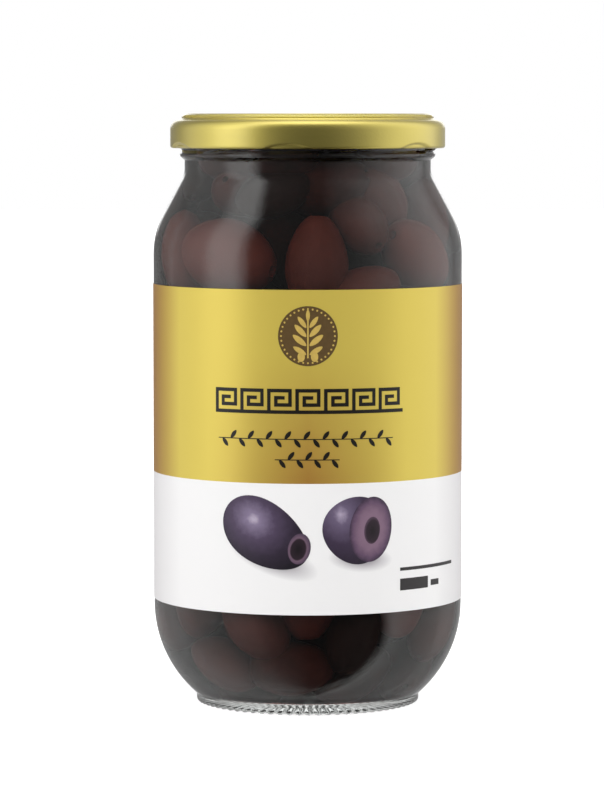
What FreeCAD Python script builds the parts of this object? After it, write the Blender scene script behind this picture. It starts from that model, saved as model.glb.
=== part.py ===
import FreeCAD, Part
import math
import os

import Sketcher
from FreeCAD import Placement, Rotation, Vector

# Jar of pitted olives: flint glass jar with a lug finish, twist-off metal lid, paper label, brine
# and a heap of olives. Millimetres and degrees, +Z up, origin at the centre of the bearing plane,
# front of the label towards -Y.

DRIVING_SIZES = {
    # glass
    "glass_height": 182.95,      # bearing plane to the rim
    "body_dia": 96.3,
    "wall": 2.6,
    "base_thick": 4.4,           # bearing plane to the inside floor
    "floor_round": 2.0,
    "foot_inset": 13.2,          # body side to the side of the foot
    "foot_height": 2.4,
    "foot_round": 0.5,
    "heel_rise": 11.85,          # foot to the corner that the heel rounds off
    "heel_radius": 37.5,
    "ring_width": 3.6,           # bearing ring
    "push_up": 2.4,              # hollow under the base
    "push_round": 5.0,
    "tooth_count": 72,
    "tooth_height": 0.4,
    "tooth_width": 1.3,
    "tooth_margin": 0.4,         # ring edge to the end of a tooth
    "tooth_slant": 0.5,          # sideways shift of a tooth's outer end
    # shoulder and neck
    "neck_inset": 0.9,           # finish to the neck
    "neck_drop": 18.43,          # rim to the corner between neck and shoulder
    "neck_fillet": 6.5,
    "shoulder_radius": 26.0,
    "slope_angle": 28.2,         # shoulder's slope from the vertical
    # finish
    "finish_dia": 78.3,
    "rim_round": 0.9,
    "bead_out": 0.75,            # finish to the corner that the bead's crest rounds off
    "bead_drop": 12.75,          # rim to the bead's crest
    "bead_low": 1.4,
    "bead_high": 1.7,
    "bead_round": 1.1,
    "thread_count": 6,
    "thread_depth": 1.3,
    "thread_height": 1.5,
    "thread_drop": 11.35,        # rim to the middle of a thread's low end
    "thread_rise": 4.2,
    "thread_span": 62,
    "thread_turn": -25,          # where the first thread starts, from +X
    # lid
    "lid_sheet": 0.25,
    "lid_height": 10.7,
    "lid_round": 2.9,
    "skirt_gap": 2.0,            # thread crest to the inside of the skirt
    "ring_gap": 0.2,             # finish to the inside of the lid's raised ring
    "ring_step": 1.9,
    "ring_round": 0.75,
    "panel_gap": 1.0,            # bore to the sunk panel's wall
    "panel_sink": 0.9,
    "panel_round": 0.6,
    "button_dia": 34.0,
    "button_rise": 0.35,
    "curl_radius": 0.8,
    "curl_tail": 0.5,
    "lug_height": 0.72,
    "lug_clear": 0.6,            # finish to the tip of a lug
    "lug_span": 20,
    "lug_turn": 21.6,            # where the first lug stands, from +X
    "dent_span": 20.8,
    "dent_height": 1.5,
    "dent_depth": 0.12,
    # label
    "label_thick": 0.14,
    "label_low": 1.7,            # top of the heel to the label
    "label_high": 8.9,           # label to the start of the shoulder
    "label_seam": 5.0,           # bare strip at the back
    # contents
    "brine_drop": 9.2,           # rim to the brine
    "olive_length": 27.0,
    "olive_width": 17.0,
    "olive_gap": 0.35,           # heap to the glass
    "olive_cover": 2.0,          # brine over the heap
}

doc = FreeCAD.newDocument("olive_jar")
sheet = doc.addObject("Spreadsheet::Sheet", "Sizes")
for row, (alias, value) in enumerate(DRIVING_SIZES.items(), start=1):
    sheet.set(f"A{row}", alias)
    sheet.set(f"B{row}", str(value))
    sheet.setAlias(f"B{row}", alias)
doc.recompute()


def linked(words):
    """Expression in which each name of a driving size points to its cell."""
    out, word = "", ""
    for char in words + " ":
        if char.isalnum() or char == "_":
            word += char
            continue
        out += f"Sizes.{word}" if word in DRIVING_SIZES else word
        out += char
        word = ""
    return out.strip()


def size(words):
    """Value in millimetres or degrees of an expression of driving sizes."""
    value = sheet.evalExpression(linked(words))
    return float(getattr(value, "Value", value))


# Sizes that follow from the driving ones, as expressions.
BODY_R = "(body_dia / 2)"
FINISH_R = "(finish_dia / 2)"
NECK_R = f"({FINISH_R} - neck_inset)"
BORE_R = f"({NECK_R} - wall)"
FOOT_R = "(body_dia / 2 - foot_inset)"
HALF_SLOPE = "tan(slope_angle * 1 deg / 2)"
NECK_CORNER = "(glass_height - neck_drop)"
SHOULDER_CORNER = f"({NECK_CORNER} - ({BODY_R} - {NECK_R}) / tan(slope_angle * 1 deg))"
SLOPE_LENGTH = f"(({BODY_R} - {NECK_R}) / sin(slope_angle * 1 deg))"
SHOULDER_R = f"min(shoulder_radius; 0.95 * {SLOPE_LENGTH} / {HALF_SLOPE} - neck_fillet)"
SHOULDER_START = f"({SHOULDER_CORNER} - {SHOULDER_R} * {HALF_SLOPE})"
HEEL_CORNER = "(foot_height + heel_rise)"
HEEL_SLANT = "sqrt(foot_inset ^ 2 + heel_rise ^ 2)"
HALF_HEEL = f"(({HEEL_SLANT} - heel_rise) / foot_inset)"
HEEL_R = f"min(heel_radius; 0.97 * {HEEL_SLANT} / {HALF_HEEL})"
HEEL_TOP = f"({HEEL_CORNER} + {HEEL_R} * {HALF_HEEL})"
IN_HEEL_CORNER = f"({HEEL_CORNER} + wall * {HALF_HEEL})"
IN_HEEL_DROP = f"({IN_HEEL_CORNER} - base_thick)"
FLOOR_R = f"({BODY_R} - wall - {IN_HEEL_DROP} * foot_inset / heel_rise)"
IN_HEEL_SLANT = f"({IN_HEEL_DROP} * {HEEL_SLANT} / heel_rise)"
IN_HEEL_R = f"min({HEEL_R} - wall; (0.97 * {IN_HEEL_SLANT} - floor_round) / {HALF_HEEL})"
THREAD_R = f"({FINISH_R} + thread_depth)"
LID_R = f"({THREAD_R} + skirt_gap + lid_sheet)"
LID_TOP = "(glass_height + lid_sheet)"
LID_LOW = f"({LID_TOP} - lid_height)"
RING_R = f"({FINISH_R} + ring_gap + lid_sheet)"
PANEL_R = f"({BORE_R} - panel_gap)"
BRINE_LEVEL = "(glass_height - brine_drop)"
SKETCH_OVERLAP = 1.0             # how far a cutting profile runs past what it cuts
WELD = 0.3                       # how far a tooth or ridge reaches into the glass that carries it
PRESS_SLOPE = 1.0                # width of the pressed slopes in the lid's panel
HEAP_SIDES = 54
HEAP_ROWS = 34
HEAP_STEPS = 7                   # rings of facets from the heap's edge to the middle of its top
HEAP_HOLLOW = 0.7                # share of an olive's half width that the gaps sink in
HEAP_SETTLE = 1.6                # dip of the heap's top in the middle
HEAP_SWELL = 1.4                 # height of the lumps on its top


def origin_plane(body, role):
    return next(f for f in body.Origin.OriginFeatures if f.Role == role)


def tangent_length(before, corner, after, radius):
    """Distance from a corner to where a rounding of this radius leaves its two sides."""
    first = (before - corner).normalize()
    second = (after - corner).normalize()
    return radius / math.tan(first.getAngle(second) / 2)


def outline(body, name, corners, role="XZ_Plane"):
    """Closed sketch through corners given as expressions (across, up, rounding or None)."""
    sketch = body.newObject("Sketcher::SketchObject", name)
    sketch.AttachmentSupport = (origin_plane(body, role), [""])
    sketch.MapMode = "FlatFace"
    count = len(corners)
    points = [Vector(size(across), size(up), 0) for across, up, _ in corners]
    rounds = [size(rounding) if rounding else 0.0 for _, _, rounding in corners]
    starts, ends = [], []
    for i, corner in enumerate(points):
        before, after = points[i - 1], points[(i + 1) % count]
        reach = tangent_length(before, corner, after, rounds[i]) if rounds[i] else 0.0
        ends.append(corner + (before - corner).normalize() * reach)
        starts.append(corner + (after - corner).normalize() * reach)
    for i in range(count):
        sketch.addGeometry(Part.LineSegment(starts[i], ends[(i + 1) % count]), False)

    def bind(constraint, geometry_and_words):
        index = sketch.addConstraint(constraint)
        sketch.setExpression(f"Constraints[{index}]", linked(geometry_and_words))

    for i, (across, up, rounding) in enumerate(corners):
        side_in, side_out = (i - 1) % count, i
        if rounding:
            arc = add_rounding(sketch, points[i], ends[i], starts[i], rounds[i])
            sketch.addConstraint(Sketcher.Constraint("Tangent", side_in, 2, arc[0], arc[1]))
            sketch.addConstraint(Sketcher.Constraint("Tangent", side_out, 1, arc[0], arc[2]))
            bind(Sketcher.Constraint("Radius", arc[0], rounds[i]), rounding)
            pinned = sketch.addGeometry(Part.Point(points[i]), True)
            sketch.addConstraint(Sketcher.Constraint("PointOnObject", pinned, 1, side_in))
            sketch.addConstraint(Sketcher.Constraint("PointOnObject", pinned, 1, side_out))
        else:
            sketch.addConstraint(Sketcher.Constraint("Coincident", side_in, 2, side_out, 1))
            pinned = side_out
        bind(Sketcher.Constraint("DistanceX", -1, 1, pinned, 1, points[i].x), across)
        bind(Sketcher.Constraint("DistanceY", -1, 1, pinned, 1, points[i].y), up)
    return sketch


def add_rounding(sketch, corner, end_in, start_out, radius):
    """Arc between two sides. Returns its index and the ends that meet the first and second side."""
    middle = (end_in + start_out) / 2
    inward = (middle - corner).normalize()
    centre = corner + inward * math.hypot(radius, (end_in - corner).Length)
    circle = Part.Circle(centre, Vector(0, 0, 1), radius)
    turn = (end_in - centre).cross(start_out - centre).z
    first, last = (end_in, start_out) if turn > 0 else (start_out, end_in)
    arc = Part.ArcOfCircle(circle, circle.parameter(first), circle.parameter(last))
    index = sketch.addGeometry(arc, False)
    return (index, 1, 2) if turn > 0 else (index, 2, 1)


def revolved(body, kind, name, sketch, sweep="360", both_ways=False):
    """Revolution or Groove of a sketch about the body's Z axis."""
    feature = body.newObject(f"PartDesign::{kind}", name)
    feature.Profile = sketch
    feature.ReferenceAxis = (origin_plane(body, "Z_Axis"), [""])
    feature.Midplane = both_ways
    feature.setExpression("Angle", linked(sweep))
    return feature


def ring_of(body, name, feature, count):
    """Copies of a feature, evenly spaced about the body's Z axis."""
    pattern = body.newObject("PartDesign::PolarPattern", name)
    pattern.Originals = feature if isinstance(feature, list) else [feature]
    pattern.Axis = (origin_plane(body, "Z_Axis"), [""])
    pattern.Angle = 360
    pattern.setExpression("Occurrences", linked(count))
    body.Tip = pattern
    return pattern


def new_body(label):
    body = doc.addObject("PartDesign::Body", label)
    body.Label = label
    return body


def cavity_corners(top):
    """Half outline of the inside of the glass, up to the given height."""
    return [
        ("0", "base_thick", None),
        (FLOOR_R, "base_thick", "floor_round"),
        (f"{BODY_R} - wall", IN_HEEL_CORNER, IN_HEEL_R),
        (f"{BODY_R} - wall", f"{SHOULDER_CORNER} - wall * {HALF_SLOPE}", f"{SHOULDER_R} - wall"),
        (BORE_R, f"{NECK_CORNER} - wall * {HALF_SLOPE}", "neck_fillet + wall"),
        (BORE_R, top, None),
        ("0", top, None),
    ]


def make_glass():
    body = new_body("glass_jar")
    mouth_floor = f"glass_height - {2 * SKETCH_OVERLAP} - rim_round"
    blank = outline(body, "blank_outline", [
        ("0", "push_up", None),
        (f"{FOOT_R} - 2 * ring_width", "push_up", "push_round"),
        (f"{FOOT_R} - ring_width", "tooth_height", None),
        (FOOT_R, "tooth_height", "foot_round"),
        (FOOT_R, "foot_height", None),
        (BODY_R, HEEL_CORNER, HEEL_R),
        (BODY_R, SHOULDER_CORNER, SHOULDER_R),
        (NECK_R, NECK_CORNER, "neck_fillet"),
        (NECK_R, "glass_height - bead_drop - bead_low", None),
        (f"{FINISH_R} + bead_out", "glass_height - bead_drop", "bead_round"),
        (FINISH_R, "glass_height - bead_drop + bead_high", None),
        (FINISH_R, "glass_height", "rim_round"),
        (BORE_R, "glass_height", "rim_round"),
        (BORE_R, mouth_floor, None),
        ("0", mouth_floor, None),
    ])
    revolved(body, "Revolution", "blank", blank)
    cavity = outline(body, "cavity_outline", cavity_corners("glass_height"))
    revolved(body, "Groove", "cavity", cavity)

    ridge = outline(body, "thread_outline", [
        (f"{FINISH_R} - {WELD}", "glass_height - thread_drop - thread_height / 2", None),
        (THREAD_R, "glass_height - thread_drop - thread_height / 4", None),
        (THREAD_R, "glass_height - thread_drop + thread_height / 4", None),
        (f"{FINISH_R} - {WELD}", "glass_height - thread_drop + thread_height / 2", None),
    ])
    thread = body.newObject("PartDesign::AdditiveHelix", "thread")
    thread.Profile = ridge
    thread.ReferenceAxis = (origin_plane(body, "Z_Axis"), [""])
    thread.Mode = "height-turns-angle"
    thread.setExpression("Height", linked("thread_rise"))
    thread.setExpression("Turns", linked("thread_span / 360"))
    ring_of(body, "threads", thread, "thread_count")

    tooth_in = f"({FOOT_R} - ring_width + tooth_margin)"
    tooth_out = f"({FOOT_R} - tooth_margin)"
    bar = outline(body, "tooth_outline", [
        (tooth_in, "-tooth_width / 2", None),
        (tooth_out, "tooth_slant - tooth_width / 2", None),
        (tooth_out, "tooth_slant + tooth_width / 2", None),
        (tooth_in, "tooth_width / 2", None),
    ], role="XY_Plane")
    tooth = body.newObject("PartDesign::Pad", "tooth")
    tooth.Profile = bar
    tooth.setExpression("Length", linked(f"tooth_height + {WELD}"))
    ring_of(body, "teeth", tooth, "tooth_count")
    body.Placement = Placement(Vector(), Rotation(Vector(0, 0, 1), size("thread_turn")))
    return body


def make_lid():
    body = new_body("lid")
    tail_top = f"{LID_LOW} + curl_radius + curl_tail"
    tail_r = f"{LID_R} - 2 * curl_radius"
    curl_r = "curl_radius * 0.98"
    shell = outline(body, "shell_outline", [
        ("0", f"{LID_TOP} - panel_sink + button_rise", None),
        ("button_dia / 2", f"{LID_TOP} - panel_sink + button_rise", "panel_round"),
        (f"button_dia / 2 + {PRESS_SLOPE}", f"{LID_TOP} - panel_sink", "panel_round"),
        (f"{PANEL_R} - lid_sheet - {PRESS_SLOPE}", f"{LID_TOP} - panel_sink", "panel_round"),
        (f"{PANEL_R} - lid_sheet", LID_TOP, "panel_round"),
        (RING_R, LID_TOP, "ring_round"),
        (RING_R, f"{LID_TOP} - ring_step", None),
        (LID_R, f"{LID_TOP} - ring_step", "lid_round"),
        (LID_R, LID_LOW, curl_r),
        (tail_r, LID_LOW, curl_r),
        (tail_r, tail_top, None),
        (f"{tail_r} + lid_sheet", tail_top, None),
        (f"{tail_r} + lid_sheet", f"{LID_LOW} + lid_sheet", f"{curl_r} - lid_sheet"),
        (f"{LID_R} - lid_sheet", f"{LID_LOW} + lid_sheet", f"{curl_r} - lid_sheet"),
        (f"{LID_R} - lid_sheet", f"{LID_TOP} - ring_step - lid_sheet", "lid_round - lid_sheet"),
        (f"{RING_R} - lid_sheet", f"{LID_TOP} - ring_step - lid_sheet", None),
        (f"{RING_R} - lid_sheet", "glass_height", "ring_round - lid_sheet"),
        (PANEL_R, "glass_height", "panel_round"),
        (f"{PANEL_R} - {PRESS_SLOPE}", "glass_height - panel_sink", "panel_round"),
        (f"button_dia / 2 + {PRESS_SLOPE}", "glass_height - panel_sink", "panel_round"),
        ("button_dia / 2", "glass_height - panel_sink + button_rise", "panel_round"),
        ("0", "glass_height - panel_sink + button_rise", None),
    ])
    revolved(body, "Revolution", "shell", shell)
    tip = outline(body, "lug_outline", [
        (f"{FINISH_R} + lug_clear", LID_LOW, None),
        (f"{LID_R} - curl_radius", LID_LOW, None),
        (f"{LID_R} - curl_radius", f"{LID_LOW} + lug_height", None),
        (f"{FINISH_R} + lug_clear", f"{LID_LOW} + lug_height", None),
    ])
    lug = revolved(body, "Revolution", "lug", tip, "lug_span", both_ways=True)
    ring_of(body, "lugs", lug, "thread_count")
    recess = outline(body, "dent_outline", [
        (f"{LID_R} - dent_depth", f"{LID_LOW} - {SKETCH_OVERLAP}", None),
        (f"{LID_R} + {SKETCH_OVERLAP}", f"{LID_LOW} - {SKETCH_OVERLAP}", None),
        (f"{LID_R} + {SKETCH_OVERLAP}", f"{LID_LOW} + dent_height", None),
        (f"{LID_R} - dent_depth", f"{LID_LOW} + dent_height", None),
    ])
    dent = revolved(body, "Groove", "dent", recess, "dent_span", both_ways=True)
    ring_of(body, "dents", dent, "thread_count")
    body.Placement = Placement(Vector(), Rotation(Vector(0, 0, 1), size("lug_turn")))
    return body


def make_label():
    body = new_body("label")
    strip = outline(body, "strip_outline", [
        (BODY_R, f"{HEEL_TOP} + label_low", None),
        (f"{BODY_R} + label_thick", f"{HEEL_TOP} + label_low", None),
        (f"{BODY_R} + label_thick", f"{SHOULDER_START} - label_high", None),
        (BODY_R, f"{SHOULDER_START} - label_high", None),
    ])
    bare = "label_seam / body_dia * 2 * 180 / pi"
    revolved(body, "Revolution", "strip", strip, f"360 - {bare}")
    seam_at_back = 90 + size(bare) / 2
    body.Placement = Placement(Vector(), Rotation(Vector(0, 0, 1), seam_at_back))
    return body


def make_brine_fill():
    body = new_body("brine_fill")
    fill = outline(body, "fill_outline", cavity_corners(BRINE_LEVEL))
    revolved(body, "Revolution", "fill", fill)
    return body


def heap_skin(around, height, inner_radius, spots):
    """Radius of the heap's side: the olives that lie against the glass, and the gaps between."""
    half_long, half_wide = size("olive_length") / 2, size("olive_width") / 2
    bulge = 0.0
    for angle, level, lean in spots:
        across = (math.remainder(around - angle, 2 * math.pi)) * inner_radius
        up = height - level
        along = across * math.cos(lean) + up * math.sin(lean)
        aside = up * math.cos(lean) - across * math.sin(lean)
        inside = 1 - (along / half_long) ** 2 - (aside / half_wide) ** 2
        bulge = max(bulge, math.sqrt(inside) if inside > 0 else 0.0)
    return inner_radius - half_wide * (1 - bulge) * HEAP_HOLLOW


def make_olives(fill):
    """The olives packed in the brine, one faceted solid out to its uneven outline."""
    floor, top = size("base_thick"), size(BRINE_LEVEL) - size("olive_cover")
    row_pitch = size("olive_width") * 0.95
    column_pitch = size("olive_length") * 0.92
    columns = round(math.pi * (size("body_dia") - 2 * size("wall")) / column_pitch)
    spots = []
    for row in range(math.ceil((top - floor) / row_pitch) + 1):
        for column in range(columns):
            wave = math.sin(5.1 * row + 2.3 * column)
            angle = 2 * math.pi * (column + 0.5 * (row % 2) + 0.18 * wave) / columns
            spots.append((angle, floor + row_pitch * (row + 0.35 + 0.2 * wave), 0.6 * wave))

    def inner_radius(height):
        section = fill.Shape.slice(Vector(0, 0, 1), height)[0]
        return section.BoundBox.XMax - size("olive_gap")

    rings = []
    for row in range(HEAP_ROWS + 1):
        height = floor + (top - floor) * row / HEAP_ROWS
        middle = min(max(height, floor + 1.0), top)
        reach = inner_radius(middle)
        if row == 0:
            reach -= size("floor_round") + 1
        ring = []
        for side in range(HEAP_SIDES):
            around = 2 * math.pi * side / HEAP_SIDES
            radius = heap_skin(around, height, reach, spots)
            ring.append(Vector(radius * math.cos(around), radius * math.sin(around), height))
        rings.append(ring)
    for step in range(1, HEAP_STEPS):
        share = 1 - step / HEAP_STEPS
        ring = []
        for side, edge in enumerate(rings[HEAP_ROWS]):
            swell = math.sin(5 * math.pi * share + 6 * math.pi * side / HEAP_SIDES)
            lump = top - HEAP_SETTLE + HEAP_SWELL * swell * share
            ring.append(Vector(edge.x * share, edge.y * share, lump))
        rings.append(ring)

    facets = []
    for low, high in zip(rings, rings[1:]):
        for i in range(HEAP_SIDES):
            j = (i + 1) % HEAP_SIDES
            facets.append((low[i], low[j], high[j]))
            facets.append((low[i], high[j], high[i]))
    crown = Vector(0, 0, top - HEAP_SETTLE)
    for i in range(HEAP_SIDES):
        facets.append((rings[-1][i], rings[-1][(i + 1) % HEAP_SIDES], crown))
    faces = [Part.Face(Part.makePolygon([a, b, c, a])) for a, b, c in facets]
    faces.append(Part.Face(Part.makePolygon(rings[0] + rings[0][:1])))
    shell = Part.Shell(faces)
    shell.sewShape()
    solid = Part.Solid(shell)
    if solid.Volume < 0:
        solid.reverse()
    feature = doc.addObject("Part::Feature", "olives")
    feature.Label = "olives"
    feature.Shape = solid
    return feature


def make_brine(fill, olives):
    cut = doc.addObject("Part::Cut", "brine")
    cut.Label = "brine"
    cut.Base = fill
    cut.Tool = olives
    return cut


glass = make_glass()
lid = make_lid()
label = make_label()
brine_fill = make_brine_fill()
doc.recompute()
olives = make_olives(brine_fill)
brine = make_brine(brine_fill, olives)
doc.recompute()

for item in doc.Objects:
    if {"Invalid", "Error"} & set(item.State):
        raise RuntimeError(f"{item.Name} failed: {item.State}")

os.makedirs("parts", exist_ok=True)
for piece in (glass, lid, label, brine, olives):
    if piece.Shape.isNull() or not piece.Shape.isValid():
        raise RuntimeError(f"{piece.Label} has no valid shape")
    if len(piece.Shape.Solids) != 1:
        raise RuntimeError(f"{piece.Label} isn't one solid")
    piece.Shape.exportStep(f"parts/{piece.Label}.step")
    box = piece.Shape.BoundBox
    print(f"{piece.Label}: {piece.Shape.Volume / 1000:.2f} cm3, z {box.ZMin:.2f} to {box.ZMax:.2f}")
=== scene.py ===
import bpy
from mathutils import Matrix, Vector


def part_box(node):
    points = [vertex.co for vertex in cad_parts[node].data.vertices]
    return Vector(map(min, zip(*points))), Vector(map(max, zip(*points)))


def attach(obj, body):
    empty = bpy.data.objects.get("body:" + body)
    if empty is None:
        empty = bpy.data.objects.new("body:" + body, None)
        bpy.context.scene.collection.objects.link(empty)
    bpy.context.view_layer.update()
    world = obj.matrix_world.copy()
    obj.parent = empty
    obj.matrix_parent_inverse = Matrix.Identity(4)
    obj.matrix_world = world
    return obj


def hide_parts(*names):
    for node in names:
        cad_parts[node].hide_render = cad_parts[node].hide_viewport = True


bl_info = {
    "name": "Olive Jar",
    "version": (1, 0, 0),
    "blender": (4, 5, 0),
    "location": "View3D > Sidebar > Olive Jar",
    "description": "Glass jar of pitted olives in brine, with a lacquered twist-off lid and a foil label",
    "category": "Add Mesh",
}

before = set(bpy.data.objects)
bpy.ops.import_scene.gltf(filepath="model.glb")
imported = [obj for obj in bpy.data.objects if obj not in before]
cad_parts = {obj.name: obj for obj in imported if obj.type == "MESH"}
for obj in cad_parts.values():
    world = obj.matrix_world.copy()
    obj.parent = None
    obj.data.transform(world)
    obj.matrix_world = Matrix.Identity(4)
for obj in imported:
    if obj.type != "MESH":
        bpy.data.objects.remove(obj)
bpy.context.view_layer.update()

import math

import bmesh
import bpy
import numpy as np
from mathutils import Matrix, Vector

MM = 0.001

_, GLASS_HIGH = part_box("glass_jar")
LID_LOW, LID_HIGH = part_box("lid")
LABEL_LOW, LABEL_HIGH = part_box("label")
_, BRINE_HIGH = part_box("brine")

LABEL_SKIN = 0.02 * MM      # air between one layer of the label and the next
LABEL_RADIUS = min(LABEL_HIGH.x - LABEL_LOW.x, LABEL_HIGH.y - LABEL_LOW.y) / 2 - 6 * LABEL_SKIN
PAPER_THICKNESS = 0.1 * MM
BASE_GAP = 0.03 * MM        # under the brine's middle, so that the base glass carries light
BASE_GAP_RADIUS = 24 * MM
KNURL_SLANT = 0.014         # turn of a tooth over half the ring's width, in radians
DENT_EDGE = 0.4 * MM        # width of the step round a dent
TIP_RADIUS = 4 * MM         # points of an olive this near its axis make the rim of a hole
SETTLING_ROUNDS = 260
OUTWARD_ROUNDS = 200        # of those, the rounds in which the olives drift to the glass
PLACED_YIELD = 0.04         # share of an overlap that an olive gives way by
LOOSE_YIELD = 0.4
BODY_RADIUS = LABEL_RADIUS - PAPER_THICKNESS - LABEL_SKIN


def length(name, words, value_mm):
    """A length property, given in millimetres."""
    return bpy.props.FloatProperty(name=name, description=words, default=value_mm * MM,
                                   unit="LENGTH", precision=5)


def angle(name, words, degrees):
    return bpy.props.FloatProperty(name=name, description=words, default=math.radians(degrees),
                                   unit="ROTATION")


def count(name, words, value):
    return bpy.props.IntProperty(name=name, description=words, default=value, min=1)


def linear(hex_colour):
    """Linear RGBA of an sRGB hex colour such as #c8a04b."""
    parts = [int(hex_colour[i:i + 2], 16) / 255 for i in (1, 3, 5)]
    return [p / 12.92 if p <= 0.04045 else ((p + 0.055) / 1.055) ** 2.4 for p in parts] + [1.0]


def colour(name, words, hex_colour):
    return bpy.props.FloatVectorProperty(name=name, description=words, subtype="COLOR", size=4,
                                         min=0, max=1, default=linear(hex_colour))


class JarSizes(bpy.types.PropertyGroup):
    """Sizes of the glass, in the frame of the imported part."""
    around: count("Steps around", "Facets round the jar, a multiple of the knurl's count", 432)
    wall: length("Wall", "Thickness of the glass wall", 2.6)
    base: length("Base", "Bearing plane to the inside floor", 4.4)
    floor_round: length("Floor rounding", "Rounding between floor and heel inside", 2.0)
    foot_inset: length("Foot inset", "Body side to foot side", 13.2)
    foot_height: length("Foot height", "Height of the upright band of the foot", 2.4)
    heel_rise: length("Heel rise", "Foot to the corner that the heel rounds off", 11.85)
    heel_radius: length("Heel radius", "Rounding of the heel", 37.5)
    ring_width: length("Bearing ring", "Width of the ring that the jar stands on", 3.6)
    push_up: length("Push-up", "Hollow under the base", 2.4)
    push_flat: length("Push-up flat", "Radius of the flat middle of the hollow", 10.0)
    knurl_count: count("Knurls", "Teeth on the bearing ring", 72)
    knurl_height: length("Knurl height", "Height of the teeth on the bearing ring", 0.4)
    neck_drop: length("Neck drop", "Rim to the corner between neck and shoulder", 18.43)
    neck_fillet: length("Neck fillet", "Rounding between neck and shoulder", 6.5)
    shoulder_radius: length("Shoulder radius", "Rounding between shoulder and body", 26.0)
    slope: angle("Shoulder slope", "Slope of the shoulder from the vertical", 28.2)
    finish_radius: length("Finish radius", "Radius of the threaded wall of the mouth", 39.15)
    neck_inset: length("Neck inset", "Finish side to neck side", 0.9)
    rim_round: length("Rim rounding", "Rounding of the rim", 0.9)
    bead_out: length("Bead", "How far the transfer bead's corner stands out of the finish", 0.75)
    bead_drop: length("Bead drop", "Rim to the crest of the transfer bead", 12.75)
    thread_count: count("Threads", "Thread starts on the finish", 6)
    thread_depth: length("Thread depth", "Height of a thread off the finish", 1.3)
    thread_width: length("Thread width", "Width of a thread", 1.7)
    thread_drop: length("Thread drop", "Rim to the low end of a thread", 11.35)
    thread_rise: length("Thread rise", "Climb of one thread", 4.2)
    thread_span: angle("Thread span", "Angle that one thread runs round", 62)
    thread_start: angle("Thread start", "Where the first thread starts, from +X", -25)


class LidSizes(bpy.types.PropertyGroup):
    """Sizes of the pressed metal lid."""
    around: count("Steps around", "Facets round the lid", 300)
    sheet: length("Sheet", "Thickness of the tinplate", 0.25)
    skirt_round: length("Skirt rounding", "Rounding between the lid's shoulder and its skirt", 2.9)
    ring_radius: length("Ring radius", "Outer radius of the raised ring", 39.6)
    ring_step: length("Ring step", "Height of the raised ring over the shoulder", 1.9)
    ring_round: length("Ring rounding", "Rounding of the raised ring's edge", 0.75)
    ring_slant: length("Ring slant", "How far the ring's side leans in", 1.7)
    panel_radius: length("Panel radius", "Radius of the sunk panel", 34.65)
    panel_sink: length("Panel sink", "Depth of the sunk panel", 0.9)
    button_radius: length("Button radius", "Radius of the raised button", 17.0)
    button_rise: length("Button rise", "Height of the raised button", 0.35)
    curl: length("Curl", "Radius of the rolled edge", 0.8)
    lug_count: count("Lugs", "Lugs round the rolled edge", 6)
    lug_start: angle("Lug start", "Where the first lug stands, from +X", 21.6)
    lug_reach: length("Lug reach", "How far a lug reaches in from the rolled edge", 1.3)
    dent_width: length("Dent width", "Width of the arched dent over a lug", 15.5)
    dent_height: length("Dent height", "Height of the arched dent over a lug", 1.8)
    dent_depth: length("Dent depth", "Depth of the arched dent over a lug", 0.7)


class ContentSizes(bpy.types.PropertyGroup):
    """Sizes of the olives and the brine."""
    reach: length("Reach into glass", "How far the brine's skin lies inside the glass wall", 0.12)
    olive_length: length("Olive length", "Length of an average olive", 26.5)
    olive_width: length("Olive width", "Width of an average olive", 17.4)
    pit_depth: length("Pit hole depth", "Depth of the hole that the pit left by", 9.0)
    stab_depth: length("Stab depth", "Depth of the cut at the other end", 3.0)
    loose: count("Loose olives", "Olives settled round the placed ones", 104)
    core_radius: length("Core radius", "Radius of the dark core that fills the middle", 17.0)
    seed: count("Seed", "Seed of the olives' sizes and first places", 7)


class LabelSizes(bpy.types.PropertyGroup):
    """Sizes of the label and of what is printed on it."""
    around: count("Steps around", "Facets round the label", 360)
    seam: length("Seam", "Bare strip at the back", 5.0)
    field_top: length("White field top", "Height of the line between foil and white field", 72.4)
    ink: length("Ink", "Thickness of a printed layer", 0.012)
    medallion_height: length("Medallion height", "Height of the medallion's centre", 116.8)
    medallion_radius: length("Medallion radius", "Radius of the medallion's rim", 9.0)
    meander_height: length("Meander height", "Height of the meander's middle", 97.2)
    meander_unit: length("Meander unit", "Width of one turn of the meander", 8.6)
    meander_turns: count("Meander turns", "Turns in the meander", 7)


class JarColours(bpy.types.PropertyGroup):
    """Colours that a user would change."""
    glass: colour("Glass", "Tint of the flint glass", "#fafdfb")
    lacquer: colour("Lacquer", "Gold lacquer of the lid", "#dccb68")
    foil: colour("Foil", "Gold foil of the label", "#dac457")
    # Deep gold is painted shade at the label's sides, and partly print, partly painted shade at the
    # foil's lower middle.
    print_and_shade_gold: colour("Deep gold", "Browner gold that the foil's print shades into", "#ab7a34")
    field: colour("Field", "White field of the label", "#eeeded")
    ink: colour("Ink", "Dark ink on the foil", "#15110b")
    bronze: colour("Bronze", "Medallion on the foil", "#5a4420")
    grey: colour("Grey ink", "Grey ink on the white field", "#282526")
    olive: colour("Olive skin", "Dark side of the olives' skin", "#241312")
    flush: colour("Olive flush", "Paler, redder side of the skin", "#7c4641")
    flesh: colour("Olive flesh", "Inside of a pit hole", "#35150f")


# ---------------------------------------------------------------- small tools

def deselect():
    bpy.ops.object.select_all(action="DESELECT")


def edit(piece):
    """Opens the piece alone for editing, all of it selected."""
    deselect()
    piece.select_set(True)
    bpy.context.view_layer.objects.active = piece
    bpy.ops.object.mode_set(mode="EDIT")
    bpy.ops.mesh.select_all(action="SELECT")


def close_edit():
    bpy.ops.object.mode_set(mode="OBJECT")


def face_outwards(piece):
    edit(piece)
    bpy.ops.mesh.normals_make_consistent(inside=False)
    close_edit()


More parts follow.
